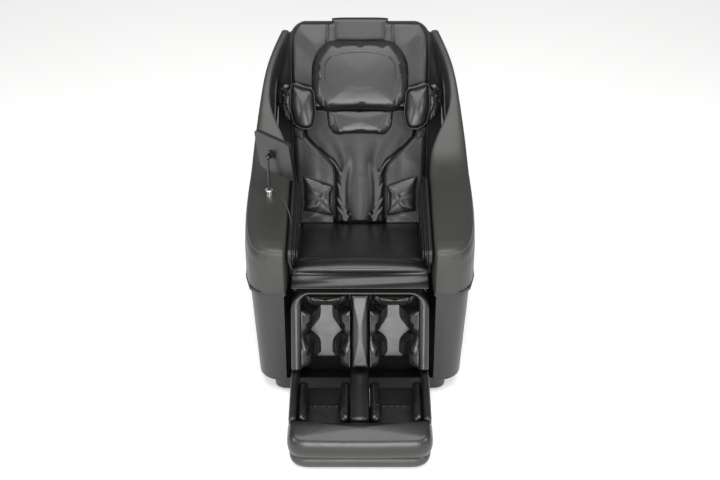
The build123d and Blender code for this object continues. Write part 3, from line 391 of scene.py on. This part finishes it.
deep = np.pad(np.pad(26 - lift, 1, constant_values=29), 1, constant_values=29)
panel = surface("centre_panel", leaning(back, back_lean, sheet_x, deep, sheet_up), soft_grain, "backrest",
                wrap=False)
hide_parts("back_centre_pad")
rim_up = np.linspace(12, 405, 120)
for sign, side in ((1, "left"), (-1, "right")):
    path = leaning(back, back_lean, sign * (panel_half(rim_up) + 1), np.full(len(rim_up), 7.0), rim_up)
    surface(f"panel_seam_cord_{side}", tube(path, 1.8, (0, -0.89, 0.45), False), cord_leather, "backrest")

# ---------------------------------------------------------------- neck and waist pads
# Thin stuffed pads sewn over the back: one under the head pillow and one at each side of the waist.


def rounded(corners, radius, count):
    """Closed outline whose corners are parabolas that start and end radius away, in count even steps."""
    corners = np.array(corners, float)
    radius = np.broadcast_to(np.array(radius, float), len(corners))
    ends = []
    for shift in (1, -1):
        way = np.roll(corners, shift, 0) - corners
        reach = np.minimum(radius / np.linalg.norm(way, axis=1), 0.499)
        ends.append(corners + way * reach[:, None])
    t = np.linspace(0, 1, 11)[None, :, None]
    path = (1 - t) ** 2 * ends[0][:, None] + 2 * t * (1 - t) * corners[:, None] + t ** 2 * ends[1][:, None]
    path = path.reshape(-1, 2)
    path = np.vstack([path, path[:1]])
    run = np.concatenate([[0], np.cumsum(np.linalg.norm(np.diff(path, axis=0), axis=1))])
    steps = np.linspace(0, run[-1], count, endpoint=False)
    return np.stack([np.interp(steps, run, path[:, k]) for k in (0, 1)], -1)


def stuffed(outline, thick, edge, crown, rings=26):
    """A stuffed form over an outline, from the middle of its flat back out to its rim, round its side as half an
    ellipse edge wide, and up over its face, which rises by crown times one less the radius squared."""
    ahead = np.roll(outline, -1, 0) - np.roll(outline, 1, 0)
    inward = np.stack([-ahead[:, 1], ahead[:, 0]], -1) / np.linalg.norm(ahead, axis=1)[:, None]
    nextone = np.roll(outline, -1, 0)
    inward *= np.sign(np.sum(outline[:, 0] * nextone[:, 1] - outline[:, 1] * nextone[:, 0]))
    turn, out = np.linspace(-np.pi / 2, np.pi / 2, 13), np.linspace(1, 0, rings)
    inset = np.concatenate([np.full(6, edge), edge * (1 - np.cos(turn)), np.full(rings, edge)])
    share = np.concatenate([np.linspace(0, 1, 6), np.ones(13), out])
    height = np.concatenate([np.zeros(6), (thick - crown) * (1 + np.sin(turn)) / 2, thick - crown * out ** 2])
    middle = outline.mean(0)
    flat = outline[None] + inward[None] * inset[:, None, None]
    flat = middle + (flat - middle) * share[:, None, None]
    return flat[..., 0], flat[..., 1], np.repeat(height[:, None], len(outline), 1)


def swell(piece, voxel, cap):
    """Blows a stuffed piece up as cloth under inner pressure for 20 frames, each point moving at most cap metres,
    then makes the result its mesh, one step finer."""
    bpy.context.view_layer.objects.active = piece
    even = piece.modifiers.new("even", "REMESH")
    even.mode, even.voxel_size = "VOXEL", voxel
    bpy.ops.object.modifier_apply(modifier=even.name)
    count = len(piece.data.vertices)
    rest = np.zeros(count * 3)
    piece.data.vertices.foreach_get("co", rest)
    bellows = piece.modifiers.new("bellows", "CLOTH")
    bellows.settings.use_pressure = True
    bellows.settings.uniform_pressure_force = 4.0
    bellows.settings.effector_weights.gravity = 0.0
    bellows.settings.quality = 4
    for now in range(1, 21):
        scene.frame_set(now)
    blown = np.zeros(count * 3)
    piece.evaluated_get(bpy.context.evaluated_depsgraph_get()).data.vertices.foreach_get("co", blown)
    piece.modifiers.remove(bellows)
    scene.frame_set(1)
    moved = (blown - rest).reshape(-1, 3)
    size = np.linalg.norm(moved, axis=1)[:, None]
    moved *= np.minimum(1, cap / np.maximum(size, 1e-9))
    piece.data.vertices.foreach_set("co", (rest.reshape(-1, 3) + moved).ravel())
    piece.data.update()
    finer = piece.modifiers.new("finer", "SUBSURF")
    finer.levels = finer.render_levels = 1
    bpy.ops.object.modifier_apply(modifier=finer.name)
    piece.data.polygons.foreach_set("use_smooth", np.ones(len(piece.data.polygons), bool))


def on_back(outline, thick, edge, crown, base):
    """Points of a stuffed form that stands on the back's face, base mm behind it."""
    a, b, h = stuffed(outline, thick, edge, crown)
    return a, b, base - h


a, b, deep = on_back(rounded([(-124, 420), (124, 420), (118, 352), (96, 322), (-96, 322), (-118, 352)], 14,
                             200),
                     26, 12, 5, 4)
deep -= 2.2 * near_line(a, b, [(-108, 398), (-72, 330)], 9) + 2.2 * near_line(a, b,
                                                                              [(108, 398), (72, 330)], 9)
neck = surface("neck_pad", leaning(back, back_lean, a, deep, b), soft_grain, "backrest")
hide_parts("neck_and_waist_pads")
swell(neck, 0.004, 0.004)
for sign, side in ((1, "left"), (-1, "right")):
    outline = rounded([(96, 22), (210, 40), (212, 172), (156, 160), (97, 134)], 12, 200)
    a, b, deep = on_back(outline, 18, 8, 7, 5)
    deep += 2.0 * near_line(a, b, [(118, 60), (150, 96), (198, 108)], 8)
    deep -= 2.0 * near_line(a, b, [(118, 120), (160, 60), (196, 52)], 9)
    pad = surface(f"waist_pad_{side}", leaning(back, back_lean, sign * a, deep, b), soft_grain, "backrest")
    swell(pad, 0.004, 0.003)
    rim_path = leaning(back, back_lean, sign * outline[:, 0], np.full(len(outline), -2.0), outline[:, 1])
    surface(f"waist_piping_{side}", tube(rim_path, 1.7, (0, -0.89, 0.45), True), cord_leather, "backrest")

# ---------------------------------------------------------------- head pillow
# A thick removable pillow in the same leather, with a sewn inner panel. It hangs from the flap over the back's top.
outline = rounded([(-134, 408), (134, 408), (176, 450), (182, 530), (174, 606), (124, 667), (-124, 667),
                   (-174, 606),
                   (-182, 530), (-176, 450)], [15, 15, 34, 40, 34, 26, 26, 34, 40, 34], 300)
a, b, deep = on_back(outline, 58, 26, 8, -1)
inner_line = [(-128, 404), (-132, 520), (-128, 580), (-104, 606), (-60, 618), (0, 622), (60, 618), (104, 606),
              (128, 580), (132, 520), (128, 404)]
pillow = surface("pillow", leaning(back, back_lean, a, deep, b), soft_grain, "pillow")
swell(pillow, 0.005, 0.006)
coords = np.zeros(len(pillow.data.vertices) * 3)
pillow.data.vertices.foreach_get("co", coords)
coords = coords.reshape(-1, 3) * 1000
turn = np.radians(back_lean)
rear = (coords[:, 1] - back[0]) * np.cos(turn) - (coords[:, 2] - back[1]) * np.sin(turn)
climb = (coords[:, 1] - back[0]) * np.sin(turn) + (coords[:, 2] - back[1]) * np.cos(turn)
rear += step(-rear, 30, 46) * 2.6 * near_line(coords[:, 0], climb, inner_line, 2.6)
pillow.data.vertices.foreach_set("co", (leaning(back, back_lean, coords[:, 0], rear, climb) / 1000).ravel())
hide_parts("head_pillow")

# ---------------------------------------------------------------- top flap
# A flat padded strap of leather that carries the pillow. It lies over the top of the back and is held behind it
# with hook tape.
arc = np.linspace(0, np.pi / 2, 9)
line = np.concatenate([np.stack([np.full(14, 0.0), np.linspace(652, 733, 14)], -1),
                       np.stack([14 - 14 * np.cos(arc), 733 + 14 * np.sin(arc)], -1),
                       np.stack([np.linspace(22, 98, 12), np.full(12, 747.0)], -1)])
way = np.gradient(line, axis=0)
out = np.stack([-way[:, 1], way[:, 0]], -1) / np.linalg.norm(way, axis=1)[:, None]
width = np.linspace(-1, 1, 61)
puff = 7.5 * (1 - width ** 8)[None] * np.clip(np.minimum(np.arange(35), np.arange(35)[::-1]) / 3, 0, 1)[:,
                                                                                                        None] ** 0.5
curl = 5.0 * np.abs(width[None]) ** 10 * step(line[:, 1], 715, 735)[:, None]
upper = line[:, None] + out[:, None] * (puff - 6.0 + curl)[..., None]
under = line[:, None] - out[:, None] * (7.5 - curl)[..., None]
loop = np.concatenate([upper, under[:, ::-1]], 1)
across = np.concatenate([width, width[::-1]]) * 102
points = leaning(back, back_lean, np.broadcast_to(across, loop.shape[:2]), loop[..., 0], loop[..., 1])
flap = surface("pillow_flap", capped(points), soft_grain, "backrest")
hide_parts("top_flap")

# ---------------------------------------------------------------- shoulder wings and airbags
# Upright stuffed wings that hold the neck and shoulders, each with a corded front edge, and behind it a slack
# glossy airbag whose leather lies in sharp creases.
airbag = leather("glossy_black_airbag_leather", "#0f0f0f", "#161615", 0.24, 2.0, 0.08, 0.2, 0.35)
for sign, side in ((1, "left"), (-1, "right")):
    outline = rounded([(160, 396), (172, 346), (208, 342), (242, 362), (254, 424), (250, 510), (212, 496),
                       (168, 486)], 18, 200)
    a, b, deep = on_back(outline, 62, 16, 10, 0)
    wing = surface(f"wing_{side}", leaning(back, back_lean, sign * a, deep, b), soft_grain, "backrest")
    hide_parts("shoulder_wings")
    swell(wing, 0.004, 0.003)
    rim_path = leaning(back, back_lean, sign * outline[:, 0], np.full(len(outline), -50.0), outline[:, 1])
    surface(f"wing_piping_{side}", tube(rim_path, 2.0, (0, -0.89, 0.45), True), cord_leather, "backrest")
    outline = rounded([(248, 366), (280, 386), (300, 430), (303, 482), (280, 514), (252, 510)], 12, 240)
    a, b, deep = on_back(outline, 50, 16, 10, 4)
    for line in ([(252, 506), (274, 468), (302, 430)], [(258, 462), (302, 478)],
                 [(262, 376), (278, 430), (264, 488)]):
        deep += 9.0 * near_line(a + 5, b, line, 5.0) * step(-deep, 10, 30) - 6.0 * near_line(a, b, line, 4.0)
    bag = surface(f"shoulder_airbag_{side}", leaning(back, back_lean, sign * a, deep, b), airbag, "backrest")
    a, b, deep = on_back(rounded([(206, 304), (238, 320), (243, 352), (210, 344)], 9, 120), 16, 7, 5, 2)
    corner = surface(f"shoulder_corner_pad_{side}", leaning(back, back_lean, sign * a, deep, b), satin,
                     "backrest")

# ---------------------------------------------------------------- arm liners and shoulder strips
# Two-layer padded liners glued inside each arm, with a corded inner layer, and a raised padded strip inside each
# shoulder of the shell.
for sign, side in ((1, "left"), (-1, "right")):
    outline = rounded([(-284, 590), (-281, 542), (-262, 523), (-232, 520), (-120, 501), (122, 501),
                       (122, 652)], 14,
                      260)
    a, b, h = stuffed(outline, 22, 8, 3)
    liner = surface(f"arm_liner_{side}", np.stack([sign * (243 - h), a, b], -1), soft_grain, "seat")
    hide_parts("shell_liners")
    inner_outline = rounded([(-270, 580), (-268, 552), (-250, 534), (-224, 530), (-118, 512), (112, 512),
                             (112, 636)],
                            14, 260)
    a, b, h = stuffed(inner_outline, 16, 7, 5)
    layer = surface(f"arm_liner_layer_{side}", np.stack([sign * (224 - h), a, b], -1), soft_grain, "seat")
    for name, ring, depth in (("outer", outline, 222.5), ("inner", inner_outline, 209.5)):
        path = np.stack([np.full(len(ring), sign * depth), ring[:, 0], ring[:, 1]], -1)
        surface(f"arm_liner_{name}_piping_{side}", tube(path, 1.8, (sign, 0, 0), True), cord_leather, "seat")
    outline = rounded([(354, 722), (392, 703), (484, 880), (462, 911)], 12, 140)
    a, b, h = stuffed(outline, 18, 7, 4)
    strip = surface(f"shoulder_strip_{side}", np.stack([sign * (np.interp(b, [700, 900], [322, 312]) - h),
                                                        a, b], -1),
                    soft_grain, "seat")

# ---------------------------------------------------------------- seat cushion and front lip
# A flat foam seat between the arms, and at its front a crowned bolster whose leather lies in long parallel folds.
seat, seat_slope = (-232.0, 497.0), 12.1
outline = rounded([(-229, 82), (229, 82), (229, 484), (-229, 484)], 16, 300)
a, b, h = stuffed(outline, 52, 14, 6)
for line in both([[(-96, 446), (-92, 90)]]) + [[(-226, 250), (226, 250)]]:
    h -= 2.5 * near_line(a, b, line, 3) * step(h, 30, 44)
base = surface("seat_pad", leaning(seat, seat_slope, a, b, h - 53), soft_grain, "seat")
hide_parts("seat_cushion")
swell(base, 0.007, 0.003)

loop = rounded([(-3, -33), (-4, 2), (22, 7), (50, 8), (77, 4), (77, -52), (30, -34)], 9, 90)
span = np.linspace(-1, 1, 121)
close = 1 - 0.10 * np.abs(span) ** 18
lift = 15.0 * (1 - span ** 2) - 10
centre = loop.mean(0)
rows = centre + (loop[None] - centre) * close[:, None, None]
front = step(-rows[..., 0], -60, 0)
fold = np.sin((rows[..., 0] * 0.8 - rows[..., 1]) / 4.6 + 1.2 * span[:, None] ** 2) * (1 - span[:, None] ** 4)
rows[..., 1] += (lift[:, None] + 2.4 * fold) * step(rows[..., 1], -24, 0) * (1 - 0.4 * front)
rows[..., 0] -= 2.6 * front * fold
points = leaning(seat, seat_slope, np.broadcast_to(span[:, None] * 230, rows.shape[:2]), rows[..., 0],
                 rows[..., 1])
lip = surface("seat_lip", capped(points), soft_grain, "seat")
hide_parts("seat_front_pad")

# ---------------------------------------------------------------- valance
# A loose strip of leather sewn under the seat's lip and to the top of the leg rest. It closes the gap between them;
# here it is one fixed mesh in its rest shape, tied to neither the seat nor the leg rest.
u, v = np.linspace(-1, 1, 121)[:, None], np.linspace(0, 1, 24)[None]
y = -247 + (-50) * v + 0 * u
z = 474 - 20 * v + 2.2 * np.sin(3.1 * u + 6 * v) * np.sin(np.pi * v) - 3 * np.sin(np.pi * v) + 2.5 * np.sin(
    np.pi * np.clip(v * 2.2, 0, 1)) * (1 - u ** 2)
strip = surface("valance_strip", np.stack([230 * u + 0 * v, y, z], -1), soft_grain, "seat",
                wrap=False)
strip.parent = None
wall = strip.modifiers.new("wall", "SOLIDIFY")
wall.thickness, wall.offset = 0.0012, 0.0
bpy.context.view_layer.objects.active = strip
bpy.ops.object.modifier_apply(modifier="wall")
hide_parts("valance")
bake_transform(strip)

# ---------------------------------------------------------------- calf rest
# A padded arch over both calf wells, a middle divider between them, and a dark rear wall. Each well has a pleated
# knee pad at its top and a slack airbag on either side.
leg, leg_lean = (-305.0, 445.0), 19.7


def open_arch(half, top, radius):
    """An arch from foot to foot: straight up, a quarter circle, across, a quarter circle and straight down."""
    turn, climb = np.linspace(0, np.pi / 2, 26), np.linspace(-272, top - radius, 70)[:-1]
    x = np.concatenate([np.full(69, half), half - radius + radius * np.cos(turn),
                        np.linspace(half - radius, 0, 60)[1:]])
    z = np.concatenate([climb, top - radius + radius * np.sin(turn), np.full(59, float(top))])
    return np.concatenate([np.stack([x, z], -1), np.stack([-x[-2::-1], z[-2::-1]], -1)])


outer, inside = open_arch(232, 0, 62), open_arch(198, -11, 34)
turn = np.linspace(0, np.pi, 17)
share = np.concatenate([0.5 + 0.5 * np.cos(turn), np.linspace(0, 1, 5)])[None, :, None]
h = np.concatenate([15 - 15 * np.sin(turn), np.full(5, 151.0)])
flat = outer[:, None] * share + inside[:, None] * (1 - share)
calf_frame = surface("calf_frame", capped(leaning(leg, leg_lean, flat[..., 0], h[None] + 0.5, flat[..., 1])),
                     soft_grain, "leg_rest")
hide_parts("calf_shell")
a, b, h = stuffed(rounded([(-231, -272), (231, -272), (231, -2), (-231, -2)], 10, 200), 13, 3, 0.5)
rear_wall = surface("calf_rear_wall", leaning(leg, leg_lean, a, 164.5 - h, b), soft_grain, "leg_rest")
a, b, h = stuffed(rounded([(-32.5, -272), (32.5, -272), (32.5, -6), (-32.5, -6)], 6, 240), 149, 13, 4)
h -= 1.6 * near_line(np.abs(a), b, [(24, -280), (24, 0)], 1.6) * step(h, 130, 140)
divider = surface("calf_middle", leaning(leg, leg_lean, a, 150 - h, b), soft_grain, "leg_rest")
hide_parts("calf_divider")
for sign, side in ((1, "left"), (-1, "right")):
    outline = rounded([(36, -9), (196, -9), (196, -40), (166, -62), (66, -62), (36, -40)], 12, 220)
    a, b, h = stuffed(outline, 132, 24, 10)
    pleat = near_line(a, b, [(44, -12), (62, -60)], 4) + near_line(a, b, [(54, -12), (76, -60)], 4)
    pleat += near_line(a, b, [(188, -12), (170, -60)], 4) + near_line(a, b, [(178, -12), (156, -60)], 4)
    h = h - 7 * pleat * step(h, 100, 125)
    knee_pad = surface(f"knee_pad_{side}", leaning(leg, leg_lean, sign * a, 146 - h, b), soft_grain,
                       "leg_rest")
    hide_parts("knee_pads")
    for place, wall_x, way in (("outer", 197.5, -1), ("inner", 34, 1)):
        tall = np.linspace(-266, -68, 90)[:, None]
        inward = np.linspace(0, 1, 40)[None]
        ends = np.clip(np.minimum(tall + 267, -67 - tall) / 16, 0, 1) ** 0.5
        pinch = 1 - 0.5 * np.exp(-((tall + 168) / 26) ** 2)
        front_edge = 7 + 10 * np.exp(-((tall + 168) / 30) ** 2)
        depth = front_edge + (148 - front_edge) * inward
        thick = (24 * np.minimum(inward * 7, 1) ** 0.5 + 38 * inward ** 0.8) * pinch * ends
        crease = near_line(depth, tall + 0 * inward, [(20, -120), (60, -166), (140, -176)], 7)
        crease = crease + near_line(depth, tall + 0 * inward, [(20, -222), (70, -186), (140, -176)], 7)
        thick = np.clip(thick - 8 * crease * ends * step(inward, 0.02, 0.15), 1.0, 62)
        bag_x = np.concatenate([wall_x + way * thick, np.full(thick.shape, wall_x)], 1)
        bag_in = np.concatenate([depth, depth[:, ::-1]], 1)
        bag = surface(f"calf_airbag_{place}_{side}", capped(leaning(leg, leg_lean, sign * bag_x, bag_in,
                                                                    tall + 0 * bag_in)),
                      airbag, "leg_rest")
        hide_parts("calf_airbags")

# ---------------------------------------------------------------- foot rest
# A padded boot for both feet: side walls, a middle divider and a broad crowned toe cap, on a moulded bottom cover.
# Slack airbags line the walls of both wells.
wall_line = [(-400, 178), (-612, 158), (-612, 40), (-352, 40), (-292, 46), (-264, 82), (-248, 124)]
for sign, side in ((1, "left"), (-1, "right")):
    a, b, h = stuffed(rounded(wall_line, 10, 240), 28, 9, 3)
    wall = surface(f"foot_wall_{side}", np.stack([sign * (208.5 + h), a, b], -1), soft_grain, "foot_rest")
    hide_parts("foot_shell")
    for place, wall_x, way in (("outer", 207.5, -1), ("inner", 33.5, 1)):
        outline = rounded([(-588, 58), (-402, 58), (-402, 154), (-480, 150), (-588, 140)], 20, 220)
        a, b, h = stuffed(outline, 40, 14, 12)
        h = h + 5 * near_line(a, b, [(-585, 120), (-530, 146), (-500, 128), (-404, 150)], 7) * step(h, 14, 26)
        bag = surface(f"foot_airbag_{place}_{side}", np.stack([sign * (wall_x + way * h), a, b], -1), airbag,
                      "foot_rest")
        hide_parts("foot_airbags")
a, b, h = stuffed(rounded(wall_line, 10, 240), 65, 13, 4)
middle = surface("foot_middle", np.stack([h - 32.5, a, b], -1), soft_grain, "foot_rest")
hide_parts("foot_divider")
outline = rounded([(-237, -611), (237, -611), (237, -708), (-237, -708)], [6, 6, 66, 66], 360)
a, b, h = stuffed(outline, 103, 22, 8)
z = 60 + h * (1 - 0.12 * step(-b, 620, 700)) - 5 * (1 - (a / 237) ** 2) * step(-b, 640, 700)
toe = surface("toe_bumper", np.stack([a, b, z], -1), soft_grain, "foot_rest")
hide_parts("toe_cap")
outline = rounded([(-233, -420), (233, -420), (233, -700), (-233, -700)], [6, 6, 62, 62], 360)
a, b, h = stuffed(outline, 52, 16, 2)
shrink = 1 - 0.05 * (1 - np.clip(h / 40, 0, 1)) ** 2
sole = surface("foot_sole_band", np.stack([a * shrink, -560 + (b + 560) * shrink, 12 + h], -1), satin,
               "foot_rest")
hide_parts("foot_bottom_cover")

# ---------------------------------------------------------------- hard parts
# Injection-moulded ABS skirts, pan and covers with a fine spark texture, black stalk and clamp in a plated socket, powder-coated
# steel frames, and rubber feet and rollers: the parts as made, each with its finish.


def moulded(name, colour, roughness, texture, strength, **sockets):
    """A hard finish with a fine texture: cells of texture mm bump it, and slow clouds vary its gloss."""
    material, tree, shader, spot = plain_material(name, colour, **sockets)
    grit = add_node(tree, "TexNoise", {"Vector": spot, "Scale": 1000.0 / texture, "Detail": 3.0})
    bump = add_node(tree, "Bump", {"Height": grit.outputs["Fac"], "Strength": strength, "Distance": 0.0006})
    tree.links.new(bump.outputs["Normal"], shader.inputs["Normal"])
    handled = add_node(tree, "TexNoise", {"Vector": spot, "Scale": 9.0, "Detail": 4.0})
    gloss = add_node(tree, "MapRange", {"Value": handled.outputs["Fac"], "To Min": roughness - 0.04,
                                        "To Max": roughness + 0.06})
    tree.links.new(gloss.outputs["Result"], shader.inputs["Roughness"])
    return material


finishes = {
    "spark_textured_abs": ("#1c1c1b", 0.36, 1.6, 0.12, {"IOR": 1.53}),
    "polished_black_abs": ("#0b0b0c", 0.32, 3.0, 0.02, {"IOR": 1.53}),
    "display_glass": ("#08090b", 0.05, 6.0, 0.01, {"IOR": 1.52, "Coat_Weight": 1.0}),
    "bright_chrome_plate": ("#d8d8d8", 0.08, 4.0, 0.02, {"Metallic": 1.0}),
    "matte_nitrile_rubber": ("#191919", 0.68, 1.4, 0.2, {"IOR": 1.52}),
    "powder_coated_steel": ("#1c1c1d", 0.5, 1.2, 0.25, {"IOR": 1.5}),
    "ground_bright_steel": ("#b4b4b2", 0.25, 1.0, 0.08, {"Metallic": 1.0}),
    "glass_filled_nylon": ("#222224", 0.55, 1.5, 0.2, {"IOR": 1.53}),
    "birch_plywood": ("#a88458", 0.6, 2.0, 0.2, {"IOR": 1.5}),
}
made = {name: moulded(name, code, rough, texture, strength, **sockets)
        for name, (code, rough, texture, strength, sockets) in finishes.items()}
parts = {
    "spark_textured_abs": ["lower_skirts", "rear_cover", "back_shell", "base_pan", "sole_plates",
                           "power_inlet", "power_rocker", "control_box"],
    "polished_black_abs": ["remote_case", "remote_stalk", "remote_clamp"],
    "display_glass": ["remote_screen"],
    "bright_chrome_plate": ["remote_socket"],
    "matte_nitrile_rubber": ["foot_pads", "transport_wheels", "kneading_rollers_left",
                             "kneading_rollers_right",
                             "foot_rollers"],
    "powder_coated_steel": ["shell_trims", "base_frame", "seat_frame", "back_frame", "leg_frame",
                            "massage_carriage",
                            "roller_arm_left", "roller_arm_right"],
    "ground_bright_steel": ["wheel_axle", "hinge_pins", "tilt_rod", "recline_rod", "leg_rod"],
    "glass_filled_nylon": ["tilt_actuator", "recline_actuator", "leg_actuator", "carriage_motor", "air_pump"],
    "birch_plywood": ["seat_board"],
}
for finish, names in parts.items():
    for name in names:
        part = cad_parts[name]
        part.data.materials.clear()
        part.data.materials.append(made[finish])
